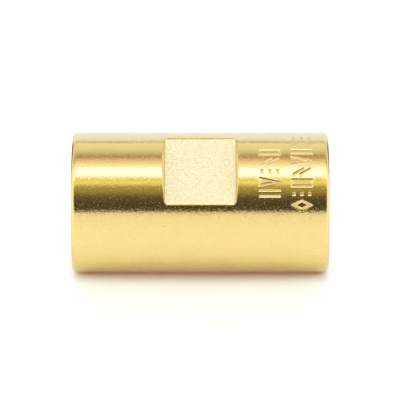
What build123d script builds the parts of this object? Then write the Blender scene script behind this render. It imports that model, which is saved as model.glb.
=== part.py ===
from build123d import *
import os
from math import cos, radians, sin, sqrt

# Double-ended miniature push-on coaxial adapter: a round barrel with a socket
# and a centre pin at each end, for joining two socket-contact connectors.
#
# Frame: X is the barrel's axis, with the marked end at +X. +Z is up, with the
# barrel lying on its side. The origin is on the axis, half way along.
# All dimensions are in millimetres.

os.makedirs("parts", exist_ok=True)

# ---- driving dimensions -------------------------------------------------

# barrel
BARREL_D = 5.50          # outer diameter
BARREL_L = 10.00         # overall length
EDGE_R = 0.20            # rounding of the two outer end edges

# wrench flats, two, opposite each other
FLATS_ACROSS = 4.60      # from flat to flat
FLAT_L = 2.74            # length of a flat along the barrel, at its floor
FLAT_DRAFT = 12.0        # slope of the flat's end walls, degrees
FLAT_CORNER_R = 0.20     # corner radius of its outline
FLAT_ROLL = 45.0         # tilt of the front flat's normal above horizontal, degrees
FLAT_FOOT_R = 0.04       # cutter radius left at the foot of the end walls

# socket (push-on interface with a detent), the same at both ends.
# Depths are measured inwards from the end face.
MOUTH_D = 3.90           # lead-in chamfer at the mouth
MOUTH_DEPTH = 0.10
ENTRY_D = 3.71           # straight entry bore
ENTRY_DEPTH = 1.05
DETENT_D = 3.05          # snap ridge
DETENT_START = 1.75
DETENT_END = 2.35
GROOVE_D = 3.28          # locking groove behind the ridge
GROOVE_START = 2.50
SOCKET_DEPTH = 3.10      # floor of the socket, the reference plane

# line section inside the web between the two sockets
LINE_D = 2.34            # outer conductor of the 50 ohm line
SEAT_D = 2.90            # counterbore for the bead's flange and the bush
AIR_L = 1.00             # length of the air-filled middle section

# support bead, one at each end of the middle section
BEAD_FLANGE_L = 0.40
BEAD_GAP = 0.01          # radial slip clearance
BEAD_HOLE_D = 0.72

# centre conductor
PIN_D = 0.38             # contact pin
PIN_REACH = 1.90         # pin's reach beyond the reference plane
PIN_TIP_R = 0.12         # rounding of the pin's tip
BEAD_SHANK_D = 0.70      # where the beads grip it
COLLAR_D = 1.02          # in the air-filled section

# marks engraved near the +X end: two columns running round the barrel.
# Each mark is plain geometry: bars, frames, lozenges, triangles and squares.
MARK_DEPTH = 0.02
MARK_LINE = 0.085        # width of an engraved line
OUTER_COLUMN_X = 3.915   # middle of each column along the barrel
INNER_COLUMN_X = 2.680
MARK_L = 0.86            # mark's extent along the barrel

# ---- derived values -----------------------------------------------------

HALF_L = BARREL_L / 2
BARREL_R = BARREL_D / 2
FLOOR_X = HALF_L - SOCKET_DEPTH
SEAT_X = AIR_L / 2
BUSH_L = FLOOR_X - SEAT_X - BEAD_FLANGE_L
PIN_END_X = FLOOR_X + PIN_REACH
FLAT_HALF_W = sqrt(BARREL_R**2 - (FLATS_ACROSS / 2) ** 2)


def round_plane(angle, x=0.0):
    """Plane through the axis at x, facing outwards at `angle` degrees above
    horizontal on the -Y side, with its x direction along the barrel."""
    a = radians(angle)
    return Plane(origin=(x, 0, 0), x_dir=(1, 0, 0), z_dir=(0, -cos(a), sin(a)))


# ---- engraved marks -----------------------------------------------------
# Sketch shapes for one mark, centred on the local origin: local x runs along
# the barrel and local y round it.

def bars_mark():
    with GridLocations(0, 0.23, 1, 2):
        Rectangle(MARK_L, MARK_LINE)


def squares_mark():
    with GridLocations(0.30, 0, 3, 1):
        Rectangle(0.14, 0.14)


def slant_mark():
    with Locations((-0.13, 0), (0.13, 0)):
        SlotCenterToCenter(0.46, MARK_LINE, rotation=32)


def frame_mark(height):
    Rectangle(MARK_L, height)
    Rectangle(MARK_L - 2 * MARK_LINE, height - 2 * MARK_LINE, mode=Mode.SUBTRACT)


def triangle_mark(height):
    """Hollow triangle pointing at +x, with sides MARK_LINE thick."""
    hx, hy = MARK_L / 2, height / 2
    side = sqrt(MARK_L**2 + hy**2)
    back = -hx + MARK_LINE
    tip = hx - MARK_LINE * side / hy
    rise = hy * (tip - back) / MARK_L
    Polygon((-hx, -hy), (hx, 0), (-hx, hy), align=None)
    Polygon((back, -rise), (tip, 0), (back, rise), align=None, mode=Mode.SUBTRACT)


def lozenge_mark(height):
    hx, hy = MARK_L / 2, height / 2
    inner = 1 - MARK_LINE * sqrt(hx**2 + hy**2) / (hx * hy)
    corners = [(-hx, 0), (0, -hy), (hx, 0), (0, hy)]
    Polygon(*corners)
    Polygon(*[(x * inner, y * inner) for x, y in corners], mode=Mode.SUBTRACT)


# (kind, angle in degrees above horizontal on the -Y side)
OUTER_MARKS = [
    ("squares", 78.0),
    ("lozenge", 69.0),
    ("bars", 59.0),
    ("triangle", 49.5),
    ("slant", 39.5),
    ("frame", 29.5),
    ("squares", 20.5),
    ("lozenge", 11.5),
]
INNER_MARKS = [
    ("frame", 58.0),
    ("slant", 48.5),
    ("squares", 39.5),
    ("triangle", 30.5),
    ("bars", 21.0),
]

with BuildPart() as mark_cutter:
    for column_x, marks in ((OUTER_COLUMN_X, OUTER_MARKS), (INNER_COLUMN_X, INNER_MARKS)):
        for kind, angle in marks:
            with BuildSketch(round_plane(angle, column_x).offset(BARREL_R - 0.3)):
                if kind == "frame":
                    frame_mark(0.34)
                elif kind == "lozenge":
                    lozenge_mark(0.42)
                elif kind == "triangle":
                    triangle_mark(0.40)
                elif kind == "squares":
                    squares_mark()
                elif kind == "bars":
                    bars_mark()
                elif kind == "slant":
                    slant_mark()
            extrude(amount=0.6)
    # the engraving follows the round surface at one depth
    with BuildSketch(Plane.YZ.offset(-HALF_L)):
        Circle(BARREL_R + 0.2)
        Circle(BARREL_R - MARK_DEPTH, mode=Mode.SUBTRACT)
    extrude(amount=BARREL_L, mode=Mode.INTERSECT)

# ---- wrench flat pockets ------------------------------------------------
# Two shallow pockets with sloping end walls, open at both sides, as solids to
# be cut from the barrel. Their lower edges carry the cutter's radius.

with BuildPart() as flat_cutter:
    for roll in (FLAT_ROLL, FLAT_ROLL + 180):
        with BuildSketch(round_plane(roll).offset(FLATS_ACROSS / 2)):
            RectangleRounded(FLAT_L, 2 * (FLAT_HALF_W + FLAT_FOOT_R), FLAT_CORNER_R)
        extrude(amount=0.7, taper=-FLAT_DRAFT)
    floors = [
        f
        for f in flat_cutter.faces().filter_by(GeomType.PLANE)
        if abs(f.center().length - FLATS_ACROSS / 2) < 1e-4
    ]
    fillet([e for f in floors for e in f.edges()], radius=FLAT_FOOT_R)

# ---- barrel -------------------------------------------------------------

with BuildPart() as barrel_body:
    # half section of the +X half, mirrored, then turned about the axis
    with BuildSketch(Plane.XY):
        with BuildLine():
            Polyline(
                (0, LINE_D / 2),
                (SEAT_X, LINE_D / 2),
                (SEAT_X, SEAT_D / 2),
                (FLOOR_X, SEAT_D / 2),
                (FLOOR_X, GROOVE_D / 2),
                (HALF_L - GROOVE_START, GROOVE_D / 2),
                (HALF_L - DETENT_END, DETENT_D / 2),
                (HALF_L - DETENT_START, DETENT_D / 2),
                (HALF_L - ENTRY_DEPTH, ENTRY_D / 2),
                (HALF_L - MOUTH_DEPTH, ENTRY_D / 2),
                (HALF_L, MOUTH_D / 2),
                (HALF_L, BARREL_R),
                (0, BARREL_R),
                close=True,
            )
        make_face()
        mirror(about=Plane.YZ)
    revolve(axis=Axis.X)
    rims = barrel_body.edges().filter_by(GeomType.CIRCLE).group_by(SortBy.RADIUS)[-1]
    fillet(rims, radius=EDGE_R)

    # wrench flats
    add(flat_cutter.part, mode=Mode.SUBTRACT)

    # engraved marks
    add(mark_cutter.part, mode=Mode.SUBTRACT)

barrel_body.part.label = "barrel_body"

# ---- retaining bushes ---------------------------------------------------
# Each is pressed into the floor of a socket, flush with it, and traps the
# bead's flange against the shoulder behind it.

with BuildPart() as right_retaining_bush:
    with BuildSketch(Plane.YZ.offset(FLOOR_X - BUSH_L)):
        Circle(SEAT_D / 2)
        Circle(LINE_D / 2, mode=Mode.SUBTRACT)
    extrude(amount=BUSH_L)
    inner_rims = (
        right_retaining_bush.edges().filter_by(GeomType.CIRCLE).group_by(SortBy.RADIUS)[-1]
    )
    chamfer(inner_rims.sort_by(Axis.X)[0], length=0.05)

right_retaining_bush.part.label = "right_retaining_bush"

with BuildPart() as left_retaining_bush:
    with BuildSketch(Plane.YZ.offset(-FLOOR_X)):
        Circle(SEAT_D / 2)
        Circle(LINE_D / 2, mode=Mode.SUBTRACT)
    extrude(amount=BUSH_L)
    inner_rims = (
        left_retaining_bush.edges().filter_by(GeomType.CIRCLE).group_by(SortBy.RADIUS)[-1]
    )
    chamfer(inner_rims.sort_by(Axis.X)[-1], length=0.05)

left_retaining_bush.part.label = "left_retaining_bush"

# ---- support beads ------------------------------------------------------
# Stepped insulators that hold the centre conductor: a flange behind the bush
# and a nose through it, ending at the floor of the socket.

with BuildPart() as right_support_bead:
    with BuildSketch(Plane.XY):
        with BuildLine():
            Polyline(
                (SEAT_X, BEAD_HOLE_D / 2),
                (FLOOR_X, BEAD_HOLE_D / 2),
                (FLOOR_X, LINE_D / 2 - BEAD_GAP),
                (SEAT_X + BEAD_FLANGE_L, LINE_D / 2 - BEAD_GAP),
                (SEAT_X + BEAD_FLANGE_L, SEAT_D / 2 - BEAD_GAP),
                (SEAT_X, SEAT_D / 2 - BEAD_GAP),
                close=True,
            )
        make_face()
    revolve(axis=Axis.X)

right_support_bead.part.label = "right_support_bead"

with BuildPart() as left_support_bead:
    with BuildSketch(Plane.XY):
        with BuildLine():
            Polyline(
                (-SEAT_X, BEAD_HOLE_D / 2),
                (-SEAT_X, SEAT_D / 2 - BEAD_GAP),
                (-SEAT_X - BEAD_FLANGE_L, SEAT_D / 2 - BEAD_GAP),
                (-SEAT_X - BEAD_FLANGE_L, LINE_D / 2 - BEAD_GAP),
                (-FLOOR_X, LINE_D / 2 - BEAD_GAP),
                (-FLOOR_X, BEAD_HOLE_D / 2),
                close=True,
            )
        make_face()
    revolve(axis=Axis.X)

left_support_bead.part.label = "left_support_bead"

# ---- centre conductor ---------------------------------------------------
# One turned piece: a pin at each end, a shank through each bead, and a collar
# between the beads that keeps it from sliding out of them.

with BuildPart() as centre_conductor:
    with BuildSketch(Plane.XY):
        with BuildLine():
            Polyline(
                (0, 0),
                (PIN_END_X, 0),
                (PIN_END_X, PIN_D / 2),
                (FLOOR_X, PIN_D / 2),
                (FLOOR_X, BEAD_SHANK_D / 2),
                (SEAT_X, BEAD_SHANK_D / 2),
                (SEAT_X, COLLAR_D / 2),
                (0, COLLAR_D / 2),
                close=True,
            )
        make_face()
        mirror(about=Plane.YZ)
    revolve(axis=Axis.X)
    tips = centre_conductor.edges().filter_by(GeomType.CIRCLE).sort_by(Axis.X)
    fillet([tips[0], tips[-1]], radius=PIN_TIP_R)

centre_conductor.part.label = "centre_conductor"

# ---- export -------------------------------------------------------------

export_step(barrel_body.part, "parts/barrel_body.step")
export_step(left_retaining_bush.part, "parts/left_retaining_bush.step")
export_step(right_retaining_bush.part, "parts/right_retaining_bush.step")
export_step(left_support_bead.part, "parts/left_support_bead.step")
export_step(right_support_bead.part, "parts/right_support_bead.step")
export_step(centre_conductor.part, "parts/centre_conductor.step")
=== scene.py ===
import math

import bpy
import numpy as np
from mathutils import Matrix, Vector


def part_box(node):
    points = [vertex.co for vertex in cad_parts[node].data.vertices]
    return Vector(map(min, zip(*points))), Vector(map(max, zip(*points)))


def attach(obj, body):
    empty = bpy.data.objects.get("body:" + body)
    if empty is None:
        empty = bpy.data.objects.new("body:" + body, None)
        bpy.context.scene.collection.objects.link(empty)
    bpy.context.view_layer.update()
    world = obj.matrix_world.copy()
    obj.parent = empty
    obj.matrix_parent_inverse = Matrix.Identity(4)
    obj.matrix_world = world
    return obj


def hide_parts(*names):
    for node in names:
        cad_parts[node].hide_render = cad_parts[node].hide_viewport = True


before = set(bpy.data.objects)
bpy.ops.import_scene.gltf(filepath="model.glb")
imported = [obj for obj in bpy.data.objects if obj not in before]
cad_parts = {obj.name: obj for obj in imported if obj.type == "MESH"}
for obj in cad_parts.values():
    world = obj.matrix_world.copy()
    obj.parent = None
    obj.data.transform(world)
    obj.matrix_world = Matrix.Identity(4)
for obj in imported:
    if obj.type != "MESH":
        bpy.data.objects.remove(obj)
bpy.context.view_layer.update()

# Double-ended miniature push-on coaxial adapter, lying on its side.
# X is the barrel's axis, +Z is up. All the sizes below are in millimetres;
# the meshes are written in metres. `a` is an angle round the barrel: 0 faces
# -Y, 90 faces +Z.

MM = 0.001

# ---------------------------------------------------------------------------
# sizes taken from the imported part
# ---------------------------------------------------------------------------

lo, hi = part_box("barrel_body")
HALF_L = (hi.x - lo.x) / 2 / MM
R = (hi.z - lo.z) / 2 / MM
FLOOR_Z = lo.z

lo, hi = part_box("right_retaining_bush")
BUSH_X0, REF_X = lo.x / MM, hi.x / MM
SEAT_R = round((hi.z - lo.z) / 2 / MM, 3)
lo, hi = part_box("right_support_bead")
BEAD_X0 = lo.x / MM
lo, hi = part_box("centre_conductor")
PIN_END = hi.x / MM
COLLAR_R = round((hi.z - lo.z) / 2 / MM, 3)

# the rest of the part's own dimensions
EDGE_R = 0.20
FLAT_DIST = 2.30
FLAT_HX = 1.37
FLAT_CORNER = 0.20
FLAT_DRAFT = math.radians(12)
FLAT_HS = math.sqrt(R * R - FLAT_DIST * FLAT_DIST) + 0.04
FLAT_ANGLES = (math.radians(45), math.radians(225))
MOUTH_R, ENTRY_R, DETENT_R, GROOVE_R = 1.95, 1.855, 1.525, 1.64
LINE_R = 1.17
BEAD_HOLE_R = 0.36
SHANK_R = 0.35
PIN_R = 0.19
MARK_DEPTH, MARK_LINE, MARK_L = 0.02, 0.085, 0.86
OUTER_X, INNER_X = 3.915, 2.680
OUTER_MARKS = [
    ("squares", 78.0), ("lozenge", 69.0), ("bars", 59.0), ("triangle", 49.5),
    ("slant", 39.5), ("frame", 29.5), ("squares", 20.5), ("lozenge", 11.5),
]
INNER_MARKS = [
    ("frame", 58.0), ("slant", 48.5), ("squares", 39.5), ("triangle", 30.5), ("bars", 21.0),
]


# ---------------------------------------------------------------------------
# distance functions for the barrel's outside
# ---------------------------------------------------------------------------

def smooth_max(a, b, k):
    h = np.clip(0.5 + 0.5 * (a - b) / k, 0, 1)
    return b + (a - b) * h + k * h * (1 - h)


def step(e0, e1, v):
    t = np.clip((v - e0) / (e1 - e0), 0, 1)
    return t * t * (3 - 2 * t)


def box_distance(u, v, hx, hy):
    qx, qy = np.abs(u) - hx, np.abs(v) - hy
    return np.hypot(np.maximum(qx, 0), np.maximum(qy, 0)) + np.minimum(np.maximum(qx, qy), 0)


def mark_distance(kind, u, v):
    """Distance to the edge of one engraved mark's lines, negative inside them."""
    half = MARK_LINE / 2
    hx = MARK_L / 2
    if kind == "frame":
        return np.abs(box_distance(u, v, hx - half, 0.17 - half)) - half
    if kind == "lozenge":
        hy = 0.21
        rho = hx * hy / math.hypot(hx, hy)
        d = (np.abs(u) / hx + np.abs(v) / hy - 1) * rho
        return np.abs(d + half) - half
    if kind == "triangle":
        hy = 0.20
        side = math.hypot(MARK_L, hy)
        d = np.maximum(-u - hx, ((u - hx) * hy + np.abs(v) * MARK_L) / side)
        return np.abs(d + half) - half
    if kind == "squares":
        return np.minimum.reduce([box_distance(u - c, v, 0.07, 0.07) for c in (-0.3, 0.0, 0.3)])
    if kind == "bars":
        return box_distance(u, np.abs(v) - 0.115, hx, half)
    c, s = math.cos(math.radians(32)), math.sin(math.radians(32))
    best = None
    for cx in (-0.13, 0.13):
        t = np.clip((u - cx) * c + v * s, -0.23, 0.23)
        d = np.hypot(u - cx - t * c, v - t * s) - half
        best = d if best is None else np.minimum(best, d)
    return best


def all_marks(x, a):
    """Distance to the nearest engraved line at x, a (radians)."""
    best = np.full(np.shape(x), 9.0)
    for column, marks in ((OUTER_X, OUTER_MARKS), (INNER_X, INNER_MARKS)):
        near = np.abs(x - column) < 0.6
        for kind, angle in marks:
            v = R * (a - math.radians(angle))
            m = near & (np.abs(v) < 0.4)
            if m.any():
                best[m] = np.minimum(best[m], mark_distance(kind, (x - column)[m], v[m]))
    return best


def pocket_distance(x, n, s):
    """Distance to a wrench flat's pocket, negative inside it. n is along the flat's normal, s across it."""
    qx, qs = np.abs(x) - (FLAT_HX - FLAT_CORNER), np.abs(s) - (FLAT_HS - FLAT_CORNER)
    outline = np.hypot(np.maximum(qx, 0), np.maximum(qs, 0)) + np.minimum(np.maximum(qx, qs), 0) - FLAT_CORNER
    wall = (outline - (n - FLAT_DIST) * math.tan(FLAT_DRAFT)) * math.cos(FLAT_DRAFT)
    return smooth_max(wall, FLAT_DIST - n, 0.05)


RHO = np.linspace(2.24, 2.80, 57)


def barrel_radius(x, a):
    """Radius of the barrel's round surface with its flats and marks, x in mm and a in radians."""
    x, a = np.broadcast_arrays(np.asarray(x, float), np.asarray(a, float))
    out = np.full(x.shape, R)
    for a0 in FLAT_ANGLES:
        d = (a - a0 + math.pi) % (2 * math.pi) - math.pi
        m = (np.abs(x) < 1.75) & (np.abs(d) < math.radians(39))
        if not m.any():
            continue
        xm, dm = x[m][:, None], d[m][:, None]
        rho = RHO[None, :]
        solid = smooth_max(rho - R, -pocket_distance(xm, rho * np.cos(dm), rho * np.sin(dm)), 0.035)
        first = np.argmax(solid > 0, axis=1)
        i = np.arange(len(first))
        f0, f1 = solid[i, first - 1], solid[i, first]
        out[m] = RHO[first - 1] + (RHO[first] - RHO[first - 1]) * (-f0 / (f1 - f0))
    m = (x > 2.1) & (x < 4.5) & (a > math.radians(4)) & (a < math.radians(86))
    if m.any():
        d = all_marks(x[m], a[m])
        across = np.clip(1 + d / (MARK_LINE / 2), 0, 1.3)
        out[m] -= MARK_DEPTH * (1 - step(0, 1.3, across))
        out[m] += 0.0020 * np.exp(-((d - 0.022) / 0.012) ** 2)
    return out


def masks(x, a):
    """Three masks: a wrench flat's blasted floor, an engraved line, and a dark line of painted shade along the base of
    a side wall.
    """
    x, a = np.broadcast_arrays(np.asarray(x, float), np.asarray(a, float))
    matt, mark, painted_wall_shade = np.zeros(x.shape), np.zeros(x.shape), np.zeros(x.shape)
    for a0 in FLAT_ANGLES:
        d = (a - a0 + math.pi) % (2 * math.pi) - math.pi
        m = (np.abs(x) < 1.75) & (np.abs(d) < math.radians(39))
        s = FLAT_DIST * np.tan(d[m])
        qx, qs = np.abs(x[m]) - (FLAT_HX - FLAT_CORNER), np.abs(s) - (FLAT_HS - 0.085 - FLAT_CORNER)
        outline = np.hypot(np.maximum(qx, 0), np.maximum(qs, 0)) + np.minimum(np.maximum(qx, qs), 0) - FLAT_CORNER
        matt[m] = 1 - step(-0.012, 0.012, outline)
        sides = step(0.10, 0.0, FLAT_HS - 0.16 - np.abs(s))
        # painted shade: a darkened line where a side wall meets the flat's floor, standing in for the shade in that
        # crease
        painted_wall_shade[m] = np.exp(-((np.abs(x[m]) - FLAT_HX - 0.020) / 0.028) ** 2) * (1 - sides)
    m = (x > 2.1) & (x < 4.5) & (a > math.radians(4)) & (a < math.radians(86))
    mark[m] = 1 - step(-0.024, 0.002, all_marks(x[m], a[m]))
    return matt, mark, painted_wall_shade


# ---------------------------------------------------------------------------
# mesh building
# ---------------------------------------------------------------------------

class Mesh:
    """Collects points, faces, and a normal for each face corner."""

    def __init__(self):
        self.co, self.faces, self.normals, self.mats = [], [], [], []

    def points(self, xs, rs, angles):
        """Adds one ring, and returns its indices. xs, rs are numbers or arrays along the ring."""
        angles = np.asarray(angles, float)
        xs, rs = np.broadcast_to(xs, angles.shape), np.broadcast_to(rs, angles.shape)
        start = len(self.co)
        for x, r, a in zip(xs, rs, angles):
            self.co.append((x * MM, -r * math.cos(a) * MM, r * math.sin(a) * MM))
        return list(range(start, start + len(angles)))

    def face(self, idx, normals, mat=0):
        """Adds a face, turned so that it agrees with its normals."""
        p = [Vector(self.co[i]) for i in idx[:4]]
        g = (p[1] - p[0]).cross(p[2] - p[0])
        if len(idx) == 4:
            g = (p[2] - p[0]).cross(p[3] - p[1])
        n = Vector(normals[0])
        for q in normals[1:]:
            n = n + Vector(q)
        if g.dot(n) < 0:
            idx, normals = idx[::-1], normals[::-1]
        self.faces.append(tuple(idx))
        self.normals.extend(normals)
        self.mats.append(mat)

    def build(self, name, materials, smooth=True):
        mesh = bpy.data.meshes.new(name)
        mesh.from_pydata(self.co, [], self.faces)
        for m in materials:
            mesh.materials.append(m)
        mesh.polygons.foreach_set("material_index", np.array(self.mats, np.int32))
        mesh.polygons.foreach_set("use_smooth", np.ones(len(self.faces), bool))
        mesh.update()
        mesh.normals_split_custom_set(self.normals)
        obj = bpy.data.objects.new(name, mesh)
        bpy.context.scene.collection.objects.link(obj)
        return obj


def radial(a, nx, nr):
    n = Vector((nx, -nr * math.cos(a), nr * math.sin(a)))
    n.normalize()
    return tuple(n)


def soften(profile, radius, steps=3, closed=True, keep=()):
    """Rounds the corners of a profile of (x, r) points."""
    pts = [np.array(p, float) for p in profile]
    n, out = len(pts), []
    for i, p in enumerate(pts):
        if (not closed and i in (0, n - 1)) or i in keep:
            out.append(tuple(p))
            continue
        u, v = pts[i - 1] - p, pts[(i + 1) % n] - p
        lu, lv = np.linalg.norm(u), np.linalg.norm(v)
        u, v = u / lu, v / lv
        turn = math.pi - math.acos(max(-1, min(1, float(u @ v))))
        cut = min(radius * math.tan(turn / 2), 0.45 * lu, 0.45 * lv)
        if turn < 0.05:
            out.append(tuple(p))
            continue
        r = cut / math.tan(turn / 2)
        bis = (u + v) / np.linalg.norm(u + v)
        centre = p + bis * math.hypot(r, cut)
        start, end = p + u * cut - centre, p + v * cut - centre
        cross = start[0] * end[1] - start[1] * end[0]
        for k in range(steps + 1):
            t = turn * k / steps * (1 if cross > 0 else -1)
            c, s = math.cos(t), math.sin(t)
            out.append((centre[0] + c * start[0] - s * start[1], centre[1] + s * start[0] + c * start[1]))
    return out


def lathe_into(mesh, profile, angles, closed, mat=0, smooth_angle=40, flip=False, start_ring=None, end_ring=None):
    """Turns a profile round the axis. Corners sharper than smooth_angle keep their own normals."""
    n, m = len(profile), len(angles)
    rings = []
    for j, (x, r) in enumerate(profile):
        if j == 0 and start_ring is not None:
            rings.append(start_ring)
        elif j == n - 1 and end_ring is not None:
            rings.append(end_ring)
        elif r < 1e-6:
            mesh.co.append((x * MM, 0.0, 0.0))
            rings.append([len(mesh.co) - 1])
        else:
            rings.append(mesh.points(x, r, angles))
    segs = n if closed else n - 1
    side = []
    for j in range(segs):
        (x0, r0), (x1, r1) = profile[j], profile[(j + 1) % n]
        v = np.array([r1 - r0, -(x1 - x0)])
        v = v / max(np.linalg.norm(v), 1e-12)
        side.append(-v if flip else v)

    def corner(j, seg):
        """Normal (nx, nr) at profile point j as seen from segment seg."""
        other = j if seg != j else j - 1
        if not closed and (other < 0 or other >= segs):
            return side[seg]
        o = side[other % segs]
        if float(o @ side[seg]) < math.cos(math.radians(smooth_angle)):
            return side[seg]
        v = o + side[seg]
        return v / np.linalg.norm(v)

    for j in range(segs):
        a_ring, b_ring = rings[j], rings[(j + 1) % n]
        na, nb = corner(j, j), corner((j + 1) % n, j)
        for i in range(m):
            k = (i + 1) % m
            ai, ak = angles[i], angles[k]
            if len(a_ring) == 1:
                am = ai + ((ak - ai) % (2 * math.pi)) / 2
                mesh.face([a_ring[0], b_ring[i], b_ring[k]], [radial(am, *na), radial(ai, *nb), radial(ak, *nb)], mat)
            elif len(b_ring) == 1:
                am = ai + ((ak - ai) % (2 * math.pi)) / 2
                mesh.face([a_ring[i], a_ring[k], b_ring[0]], [radial(ai, *na), radial(ak, *na), radial(am, *nb)], mat)
            else:
                mesh.face(
                    [a_ring[i], a_ring[k], b_ring[k], b_ring[i]],
                    [radial(ai, *na), radial(ak, *na), radial(ak, *nb), radial(ai, *nb)], mat,
                )
    return rings


def even(count):
    return [2 * math.pi * i / count for i in range(count)]


def spaced(lo_, hi_, pitch):
    n = max(1, int(math.ceil((hi_ - lo_) / pitch - 1e-9)))
    return list(np.linspace(lo_, hi_, n + 1))


def build_barrel(materials):
    mesh = Mesh()
    # lines along the barrel: rounded rim, then finer where there is detail
    rim = []
    for k in range(11):
        t = math.radians(90 * k / 10)
        rim.append((HALF_L - EDGE_R + EDGE_R * math.sin(t), R - EDGE_R + EDGE_R * math.cos(t), math.sin(t), math.cos(t)))
    xs = set()
    for a_, b_, p_ in (
        (-4.80, -1.55, 0.26), (-1.55, -1.27, 0.012), (-1.27, 1.27, 0.25), (1.27, 1.55, 0.012),
        (1.55, 2.22, 0.22), (2.22, 3.14, 0.02), (3.14, 3.45, 0.15), (3.45, 4.38, 0.02), (4.38, 4.80, 0.20),
    ):
        xs |= {round(float(v), 5) for v in spaced(a_, b_, p_)}
    xs = sorted(xs)
    xs[0], xs[-1] = -(HALF_L - EDGE_R), HALF_L - EDGE_R
    degs = set()
    for a_, b_, p_ in (
        (0, 8, 1.0), (8, 82.5, 0.42), (82.5, 90, 1.0), (90, 188, 2.0), (188, 197, 0.45), (197, 253, 2.0),
        (253, 262, 0.45), (262, 360, 2.0),
    ):
        degs |= {round(float(v), 4) for v in spaced(a_, b_, p_)}
    angles = [math.radians(v) for v in sorted(degs) if v < 359.99]
    A = np.array(angles)
    X = np.array(xs)
    rr = barrel_radius(X[:, None], A[None, :])
    e = 0.006
    dx = (barrel_radius(X[:, None] + e, A[None, :]) - barrel_radius(X[:, None] - e, A[None, :])) / (2 * e)
    ea = e / R
    da = (barrel_radius(X[:, None], A[None, :] + ea) - barrel_radius(X[:, None], A[None, :] - ea)) / (2 * ea)
    rad = np.stack([np.zeros_like(A), -np.cos(A), np.sin(A)], -1)
    tan = np.stack([np.zeros_like(A), np.sin(A), np.cos(A)], -1)
    nrm = -dx[..., None] * np.array([1.0, 0, 0]) + rad[None] - (da / rr)[..., None] * tan[None]
    nrm /= np.linalg.norm(nrm, axis=-1, keepdims=True)
    layers = np.stack(masks(X[:, None], A[None, :]), 1)

    rows, row_normals, row_masks = [], [], []
    zero = np.zeros((3, len(A)))
    for x, r, nx, nr in reversed(rim[1:]):
        rows.append(mesh.points(-x, r, angles))
        row_normals.append([radial(a, -nx, nr) for a in angles])
        row_masks.append(zero)
    for j in range(len(xs)):
        rows.append(mesh.points(xs[j], rr[j], angles))
        row_normals.append([tuple(v) for v in nrm[j]])
        row_masks.append(layers[j])
    for x, r, nx, nr in rim[1:]:
        rows.append(mesh.points(x, r, angles))
        row_normals.append([radial(a, nx, nr) for a in angles])
        row_masks.append(zero)
    m = len(angles)
    for j in range(len(rows) - 1):
        a_, b_, na, nb = rows[j], rows[j + 1], row_normals[j], row_normals[j + 1]
        for i in range(m):
            k = (i + 1) % m
            mesh.face([a_[i], b_[i], b_[k], a_[k]], [na[i], nb[i], nb[k], na[k]], 0)
    attributes = np.concatenate(row_masks, 1)
    outer_count = len(mesh.co)

    # the bores, from the left mouth to the right one
    half = [
        (BEAD_X0, LINE_R), (BEAD_X0, SEAT_R), (REF_X, SEAT_R), (REF_X, GROOVE_R),
        (HALF_L - 2.50, GROOVE_R), (HALF_L - 2.35, DETENT_R), (HALF_L - 1.75, DETENT_R),
        (HALF_L - 1.05, ENTRY_R), (HALF_L - 0.10, ENTRY_R), (HALF_L, MOUTH_R),
    ]
    whole = [(-x, r) for x, r in reversed(half)] + half
    whole = soften(whole, 0.018, 2, closed=False, keep=(2 * len(half) - 11, 2 * len(half) - 10))
    bore_angles = even(160)
    rings = lathe_into(mesh, whole, bore_angles, closed=False, mat=1, smooth_angle=50, flip=False)

    # end faces: join each mouth to the rim
    for sign, outer_ring, inner_ring in ((-1, rows[0], rings[0]), (1, rows[-1], rings[-1])):
        n = (float(sign), 0.0, 0.0)
        i = k = 0
        p, q = len(angles), len(bore_angles)
        while i < p or k < q:
            ao = angles[i + 1] if i + 1 < p else 2 * math.pi + (angles[0] if i + 1 == p else 9)
            ai = bore_angles[k + 1] if k + 1 < q else 2 * math.pi + (0 if k + 1 == q else 9)
            if i < p and (ao <= ai or k >= q):
                mesh.face([outer_ring[i % p], outer_ring[(i + 1) % p], inner_ring[k % q]], [n, n, n], 2)
                i += 1
            else:
                mesh.face([inner_ring[k % q], outer_ring[i % p], inner_ring[(k + 1) % q]], [n, n, n], 2)
                k += 1
    obj = mesh.build("barrel_shell", materials)
    total = len(mesh.co)
    for name, values in zip(("matt", "mark", "painted_wall_shade"), attributes):
        full = np.zeros(total, np.float32)
        full[:outer_count] = values
        obj.data.attributes.new(name, "FLOAT", "POINT").data.foreach_set("value", full)
    return obj


def lathe_piece(name, profile, segments, material, radius=0.012, steps=2, closed=True, keep=(), smooth_angle=50):
    mesh = Mesh()
    lathe_into(mesh, soften(profile, radius, steps, closed, keep), even(segments), closed, 0, smooth_angle, flip=False)
    return mesh.build(name, [material])


# ---------------------------------------------------------------------------
# materials
# ---------------------------------------------------------------------------

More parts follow.
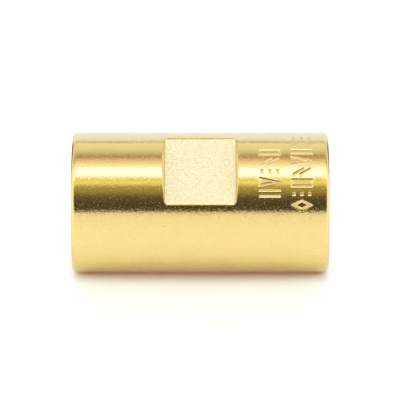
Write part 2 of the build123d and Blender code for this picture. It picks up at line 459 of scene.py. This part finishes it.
class Graph:
    """A short way to write a node material."""

    def __init__(self, name):
        self.material = bpy.data.materials.new(name)
        self.material.use_nodes = True
        self.tree = self.material.node_tree
        self.tree.nodes.clear()
        self.out = self.node("ShaderNodeOutputMaterial")
        self.shader = self.node("ShaderNodeBsdfPrincipled")
        self.link(self.shader.outputs["BSDF"], self.out.inputs["Surface"])
        scale = self.node("ShaderNodeVectorMath")
        scale.operation = "SCALE"
        self.link(self.node("ShaderNodeTexCoord").outputs["Object"], scale.inputs[0])
        scale.inputs["Scale"].default_value = 1000.0
        self.mm = scale.outputs["Vector"]

    def node(self, kind, **settings):
        n = self.tree.nodes.new(kind)
        for k, v in settings.items():
            setattr(n, k, v)
        return n

    def link(self, a, b):
        self.tree.links.new(a, b)

    def put(self, value, socket):
        if isinstance(value, bpy.types.NodeSocket):
            self.link(value, socket)
        else:
            socket.default_value = value

    def noise(self, scale, detail=2.0, roughness=0.5, vector=None, stretch=None, offset=0.0):
        v = vector if vector is not None else self.mm
        if stretch is not None or offset:
            m = self.node("ShaderNodeMapping")
            self.link(v, m.inputs["Vector"])
            if stretch is not None:
                m.inputs["Scale"].default_value = stretch
            m.inputs["Location"].default_value = (offset, offset * 1.7, offset * 0.6)
            v = m.outputs["Vector"]
        n = self.node("ShaderNodeTexNoise")
        n.inputs["Scale"].default_value = scale
        n.inputs["Detail"].default_value = detail
        n.inputs["Roughness"].default_value = roughness
        self.link(v, n.inputs["Vector"])
        return n.outputs["Fac"]

    def math(self, op, a, b=None, c=None, clamp=False):
        n = self.node("ShaderNodeMath", operation=op, use_clamp=clamp)
        for value, socket in zip((a, b, c), n.inputs):
            if value is not None:
                self.put(value, socket)
        return n.outputs[0]

    def remap(self, value, a, b, c, d):
        n = self.node("ShaderNodeMapRange")
        self.put(value, n.inputs["Value"])
        for k, v in zip(("From Min", "From Max", "To Min", "To Max"), (a, b, c, d)):
            self.put(v, n.inputs[k])
        return n.outputs["Result"]

    def mix(self, fac, a, b):
        n = self.node("ShaderNodeMix", data_type="RGBA")
        self.put(fac, n.inputs[0])
        self.put(a if isinstance(a, bpy.types.NodeSocket) else (*a, 1.0), n.inputs[6])
        self.put(b if isinstance(b, bpy.types.NodeSocket) else (*b, 1.0), n.inputs[7])
        return n.outputs[2]

    def attribute(self, name):
        n = self.node("ShaderNodeAttribute")
        n.attribute_name = name
        return n.outputs["Fac"]

    def bump(self, height, distance_mm, strength=1.0, normal=None):
        n = self.node("ShaderNodeBump")
        self.put(height, n.inputs["Height"])
        n.inputs["Distance"].default_value = distance_mm * MM
        self.put(strength, n.inputs["Strength"])
        if normal is not None:
            self.link(normal, n.inputs["Normal"])
        return n.outputs["Normal"]

    def turned(self):
        """Coordinates (along the axis, distance from it), which make rings on round and on flat turned faces."""
        sep = self.node("ShaderNodeSeparateXYZ")
        self.link(self.mm, sep.inputs[0])
        r = self.math("SQRT", self.math("ADD", self.math("MULTIPLY", sep.outputs[1], sep.outputs[1]), self.math("MULTIPLY", sep.outputs[2], sep.outputs[2])))
        comb = self.node("ShaderNodeCombineXYZ")
        self.link(sep.outputs[0], comb.inputs[0])
        self.link(r, comb.inputs[1])
        return comb.outputs[0]


GOLD = (0.85, 0.68, 0.28)
GOLD_DEEP = (0.83, 0.66, 0.27)
MATT_GOLD = (1.0, 0.975, 0.68)
MARK_GOLD = (0.86, 0.70, 0.30)
NODULE_GOLD = (0.87, 0.71, 0.32)
# painted shade: darker gold for the crease at the base of a flat's side wall
PAINTED_WALL_SHADE_GOLD = (0.52, 0.36, 0.10)


def gold_outside():
    g = Graph("gold_plate_outside")
    matt, mark = g.attribute("matt"), g.attribute("mark")
    cloud = g.noise(1.3, 3.0, 0.55)
    plate = g.mix(g.remap(cloud, 0.35, 0.65, 0.0, 1.0), GOLD, GOLD_DEEP)
    fine = g.noise(16.0, 1.0, 0.5, offset=7.0)
    plate = g.mix(g.remap(fine, 0.48, 0.74, 0.0, 0.35), plate, NODULE_GOLD)
    speck = g.noise(17.0, 1.0, 0.5, offset=3.0)
    blast = g.mix(g.remap(speck, 0.38, 0.62, 0.0, 1.0), MATT_GOLD, (0.93, 0.88, 0.50))
    colour = g.mix(matt, plate, blast)
    # painted shade: darkens the crease at the base of each flat's side wall
    colour = g.mix(g.math("MULTIPLY", g.attribute("painted_wall_shade"), 0.75), colour, PAINTED_WALL_SHADE_GOLD)
    colour = g.mix(mark, colour, MARK_GOLD)
    g.link(colour, g.shader.inputs["Base Color"])
    g.shader.inputs["Metallic"].default_value = 1.0
    rough = g.remap(fine, 0.48, 0.74, 0.125, 0.30)
    rough = g.math("ADD", g.math("MULTIPLY", rough, g.math("SUBTRACT", 1.0, matt)), g.math("MULTIPLY", matt, 0.46))
    rough = g.math("MAXIMUM", rough, g.math("MULTIPLY", mark, 0.36))
    g.link(rough, g.shader.inputs["Roughness"])
    grain = g.noise(15.0, 1.0, 0.5, offset=1.0)
    n = g.bump(grain, 0.0024)
    sand = g.noise(16.0, 1.0, 0.5, offset=5.0)
    n = g.bump(sand, 0.034, strength=matt, normal=n)
    g.link(n, g.shader.inputs["Normal"])
    return g.material


def gold_turned(name, rough_lo, rough_hi, ring, grain_mm):
    g = Graph(name)
    line = g.turned()
    rings = g.noise(ring, 3.0, 0.7, vector=line)
    cloud = g.noise(1.6, 2.0, 0.5, offset=2.0)
    g.link(g.mix(g.remap(cloud, 0.35, 0.65, 0.0, 1.0), GOLD, GOLD_DEEP), g.shader.inputs["Base Color"])
    g.shader.inputs["Metallic"].default_value = 1.0
    g.link(g.remap(rings, 0.3, 0.7, rough_lo, rough_hi), g.shader.inputs["Roughness"])
    n = g.bump(rings, grain_mm)
    n = g.bump(g.noise(14.0, 2.0, 0.5, offset=4.0), 0.0008, normal=n)
    g.link(n, g.shader.inputs["Normal"])
    return g.material


def white_ptfe():
    g = Graph("white_ptfe")
    rings = g.noise(16.0, 2.0, 0.6, vector=g.turned())
    cloud = g.noise(2.2, 3.0, 0.6, offset=6.0)
    g.link(g.mix(g.remap(cloud, 0.3, 0.7, 0.0, 1.0), (0.90, 0.90, 0.87), (0.84, 0.84, 0.80)), g.shader.inputs["Base Color"])
    g.link(g.remap(rings, 0.3, 0.7, 0.36, 0.52), g.shader.inputs["Roughness"])
    g.shader.inputs["Subsurface Weight"].default_value = 0.25
    g.shader.inputs["Subsurface Radius"].default_value = (0.0004, 0.0004, 0.00036)
    g.shader.inputs["Subsurface Scale"].default_value = 1.0
    n = g.bump(rings, 0.003)
    n = g.bump(g.noise(30.0, 2.0, 0.6, offset=8.0), 0.0010, normal=n)
    g.link(n, g.shader.inputs["Normal"])
    return g.material


# ---------------------------------------------------------------------------
# the pieces
# ---------------------------------------------------------------------------

outside = gold_outside()
bore = gold_turned("gold_plate_bore", 0.16, 0.30, 22.0, 0.0022)
face = gold_turned("gold_plate_end_face", 0.13, 0.24, 18.0, 0.0012)
bush_gold = gold_turned("gold_plate_bush", 0.18, 0.32, 26.0, 0.0020)
pin_gold = gold_turned("gold_plate_pin", 0.10, 0.18, 20.0, 0.0008)
ptfe = white_ptfe()

barrel = build_barrel([outside, bore, face])
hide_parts("barrel_body")
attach(barrel, "root")

for side, sign in (("left", -1), ("right", 1)):
    bush_profile = [(BUSH_X0, LINE_R), (REF_X, LINE_R), (REF_X, SEAT_R - 0.004), (BUSH_X0, SEAT_R - 0.004)]
    bead_profile = [
        (BEAD_X0, BEAD_HOLE_R), (REF_X, BEAD_HOLE_R), (REF_X, LINE_R - 0.01), (BUSH_X0, LINE_R - 0.01),
        (BUSH_X0, SEAT_R - 0.01), (BEAD_X0, SEAT_R - 0.01),
    ]
    if sign < 0:
        bush_profile = [(-x, r) for x, r in reversed(bush_profile)]
        bead_profile = [(-x, r) for x, r in reversed(bead_profile)]
    bush = lathe_piece(side + "_bush", bush_profile, 144, bush_gold, 0.02)
    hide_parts(side + "_retaining_bush")
    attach(bush, "root")
    bead = lathe_piece(side + "_bead", bead_profile, 128, ptfe, 0.025, 3)
    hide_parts(side + "_support_bead")
    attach(bead, "root")

tip = [(PIN_END - 0.12 + 0.12 * math.sin(t), PIN_R - 0.12 + 0.12 * math.cos(t)) for t in (math.radians(15 * k) for k in range(7))]
right_half = [(BEAD_X0, COLLAR_R), (BEAD_X0, SHANK_R), (REF_X, SHANK_R), (REF_X, PIN_R)] + tip + [(PIN_END, 0.0)]
pin_profile = [(-x, r) for x, r in reversed(right_half)] + right_half
n_tip = len(tip)
pin_profile = [pin_profile[0]] + pin_profile[1:]
keep = tuple(range(0, n_tip + 1)) + tuple(range(len(pin_profile) - n_tip - 1, len(pin_profile)))
conductor = lathe_piece("centre_pin", pin_profile[::-1], 96, pin_gold, 0.012, 2, closed=False,
                        keep=tuple(len(pin_profile) - 1 - k for k in keep), smooth_angle=60)
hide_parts("centre_conductor")
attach(conductor, "root")

# ---------------------------------------------------------------------------
# floor, light and camera
# ---------------------------------------------------------------------------

FLOOR_HALF = 3.0
FLOOR_FRONT = 0.085  # the tabletop ends here, towards the camera
floor_mesh = bpy.data.meshes.new("floor")
ring = [(-FLOOR_HALF, -FLOOR_FRONT), (FLOOR_HALF, -FLOOR_FRONT), (FLOOR_HALF, FLOOR_HALF), (-FLOOR_HALF, FLOOR_HALF)]
floor_mesh.from_pydata([(x, y, FLOOR_Z) for x, y in ring], [], [(0, 1, 2, 3)])
floor_mesh.update()
floor = bpy.data.objects.new("floor", floor_mesh)
bpy.context.scene.collection.objects.link(floor)
g = Graph("floor_white")
g.link(g.mix(g.noise(0.8, 2.0, 0.5), (0.49, 0.49, 0.49), (0.51, 0.51, 0.51)), g.shader.inputs["Base Color"])
g.shader.inputs["Roughness"].default_value = 0.42
g.shader.inputs["Specular IOR Level"].default_value = 0.5
floor_mesh.materials.append(g.material)

# A plain studio, as seen round the barrel's axis: a dim room low in front, a
# warm reflector card, one long softbox, a gap, then a white backdrop with a
# seam. Angles are in degrees above the front horizon, over the top, and down
# to the back.
ROOM = (1.0, 0.76, 0.60)
CARD = (1.0, 0.84, 0.32)
STRIP = (1.0, 1.0, 0.40)
WALL = (1.0, 0.96, 0.84)
WHITE = (1.0, 1.0, 1.0)
SOFTBOX = (1.0, 0.94, 1.25)
BACKDROP = (0.93, 1.0, 1.35)
STUDIO = [
    (0, 0.05, ROOM),
    (22, 0.12, ROOM),
    (32, 0.40, CARD),
    (39, 0.40, CARD),
    (46, 1.30, STRIP),
    (51, 0.65, CARD),
    (58, 1.80, SOFTBOX),
    (66, 2.60, SOFTBOX),
    (72, 1.30, SOFTBOX),
    (80, 1.05, WALL),
    (88, 0.85, ROOM),
    (94, 0.35, ROOM),
    (101, 0.72, WALL),
    (110, 0.93, WALL),
    (127, 1.12, WALL),
    (130.5, 0.28, ROOM),
    (134, 1.08, BACKDROP),
    (180, 1.10, BACKDROP),
]
PEAK = 3.2
world = bpy.data.worlds.new("studio")
bpy.context.scene.world = world
world.use_nodes = True
tree = world.node_tree
tree.nodes.clear()


def wnode(kind, **settings):
    n = tree.nodes.new(kind)
    for k, v in settings.items():
        setattr(n, k, v)
    return n


def wmath(op, a, b=None, clamp=False):
    n = wnode("ShaderNodeMath", operation=op, use_clamp=clamp)
    for value, socket in zip((a, b), n.inputs):
        if isinstance(value, bpy.types.NodeSocket):
            tree.links.new(value, socket)
        elif value is not None:
            socket.default_value = value
    return n.outputs[0]


coords = wnode("ShaderNodeTexCoord")
split = wnode("ShaderNodeSeparateXYZ")
tree.links.new(coords.outputs["Generated"], split.inputs[0])
up = wmath("MAXIMUM", split.outputs[2], 0.0)
angle = wmath("ARCTAN2", up, wmath("MULTIPLY", split.outputs[1], -1.0))
ramp = wnode("ShaderNodeValToRGB")
tree.links.new(wmath("DIVIDE", angle, math.pi, clamp=True), ramp.inputs["Fac"])
elements = ramp.color_ramp.elements
while len(elements) > 1:
    elements.remove(elements[-1])
for k, (deg, level, tint) in enumerate(STUDIO):
    e = elements[0] if k == 0 else elements.new(deg / 180)
    e.position = deg / 180
    e.color = (*[level * c / PEAK for c in tint], 1.0)
sideways = wnode("ShaderNodeMapRange", interpolation_type="SMOOTHSTEP")
tree.links.new(wmath("ABSOLUTE", split.outputs[0]), sideways.inputs["Value"])
for k, v in zip(("From Min", "From Max", "To Min", "To Max"), (0.62, 0.86, 0.0, 1.0)):
    sideways.inputs[k].default_value = v
tent = wnode("ShaderNodeMix", data_type="RGBA")
tree.links.new(sideways.outputs["Result"], tent.inputs[0])
tree.links.new(ramp.outputs["Color"], tent.inputs[6])
tent.inputs[7].default_value = (*[1.2 * c / PEAK for c in WHITE], 1.0)
# two dark flags behind, one to each side
mirrored = wnode("ShaderNodeCombineXYZ")
tree.links.new(wmath("ABSOLUTE", split.outputs[0]), mirrored.inputs[0])
tree.links.new(split.outputs[1], mirrored.inputs[1])
tree.links.new(split.outputs[2], mirrored.inputs[2])
nearness = wnode("ShaderNodeVectorMath", operation="DOT_PRODUCT")
tree.links.new(mirrored.outputs[0], nearness.inputs[0])
nearness.inputs[1].default_value = tuple(Vector((0.70, 0.67, 0.25)).normalized())
flag = wnode("ShaderNodeMapRange", interpolation_type="SMOOTHSTEP")
tree.links.new(nearness.outputs["Value"], flag.inputs["Value"])
for k, v in zip(("From Min", "From Max", "To Min", "To Max"), (math.cos(math.radians(19)), math.cos(math.radians(11)), 0.0, 1.0)):
    flag.inputs[k].default_value = v
flagged = wnode("ShaderNodeMix", data_type="RGBA")
tree.links.new(flag.outputs["Result"], flagged.inputs[0])
tree.links.new(tent.outputs[2], flagged.inputs[6])
flagged.inputs[7].default_value = (*[0.2 * c / PEAK for c in ROOM], 1.0)
background = wnode("ShaderNodeBackground")
background.inputs["Strength"].default_value = PEAK
tree.links.new(flagged.outputs[2], background.inputs["Color"])
out = wnode("ShaderNodeOutputWorld")
tree.links.new(background.outputs[0], out.inputs["Surface"])

# Soft fill that the metal doesn't mirror: it only lights the floor and the
# white insulators.


floor_only = bpy.data.collections.new("floor_only")
floor_only.objects.link(floor)


def fill(name, azimuth, elevation, spread, strength, colour, sheen=False):
    """A broad distant light. azimuth 0 is in front (-Y), 90 is at +X. sheen is for one that only grazes the floor."""
    data = bpy.data.lights.new(name, "SUN")
    data.angle = math.radians(spread)
    data.energy = strength
    data.color = colour
    obj = bpy.data.objects.new(name, data)
    bpy.context.scene.collection.objects.link(obj)
    az, el = math.radians(azimuth), math.radians(elevation)
    toward = Vector((math.sin(az) * math.cos(el), -math.cos(az) * math.cos(el), math.sin(el)))
    obj.rotation_euler = toward.to_track_quat("Z", "Y").to_euler()
    if sheen:
        obj.light_linking.receiver_collection = floor_only
    else:
        obj.visible_glossy = False
    return obj


DAY = (0.66, 0.96, 1.0)
WARM = (1.0, 0.32, 0.05)
fill("fill_front_low", 0, 12, 18, 0.8, WHITE)
fill("fill_left_front", -50, 15, 30, 2.5, DAY)
fill("fill_right_front", 50, 15, 30, 2.5, DAY)
fill("fill_left", -82, 20, 26, 1.8, DAY)
fill("fill_right", 82, 20, 26, 1.8, DAY)
fill("fill_left_high", -50, 40, 40, 1.0, DAY)
fill("fill_right_high", 50, 40, 40, 1.0, DAY)
fill("sheen_back", 180, 17, 44, 0.6, WHITE, sheen=True)
under = fill("fill_under", 0, 60, 40, 1.8, WARM, sheen=True)
under.data.use_shadow = False
under.visible_glossy = False

ELEVATION = math.radians(13.9)
DISTANCE = 0.180
camera_data = bpy.data.cameras.new("camera")
camera = bpy.data.objects.new("camera", camera_data)
bpy.context.scene.collection.objects.link(camera)
camera_data.sensor_width = 36.0
PIXEL = 0.03909 * MM
FRAME_WIDTH = 400 * PIXEL
camera_data.lens = 36.0 / (FRAME_WIDTH / DISTANCE)
camera_data.clip_start = 0.001
camera_data.clip_end = 20.0
back = Vector((0.0, -math.cos(ELEVATION), math.sin(ELEVATION)))
rise = Vector((0.0, math.sin(ELEVATION), math.cos(ELEVATION)))
target = Vector((-0.28 * PIXEL, 0, 0)) + rise * (2.06 * PIXEL)
camera.location = target + back * DISTANCE
camera.rotation_euler = back.to_track_quat("Z", "Y").to_euler()
bpy.context.scene.camera = camera

view = bpy.context.scene.view_settings
view.view_transform = "Standard"
view.look = "None"
view.exposure = 0.0
view.gamma = 1.0
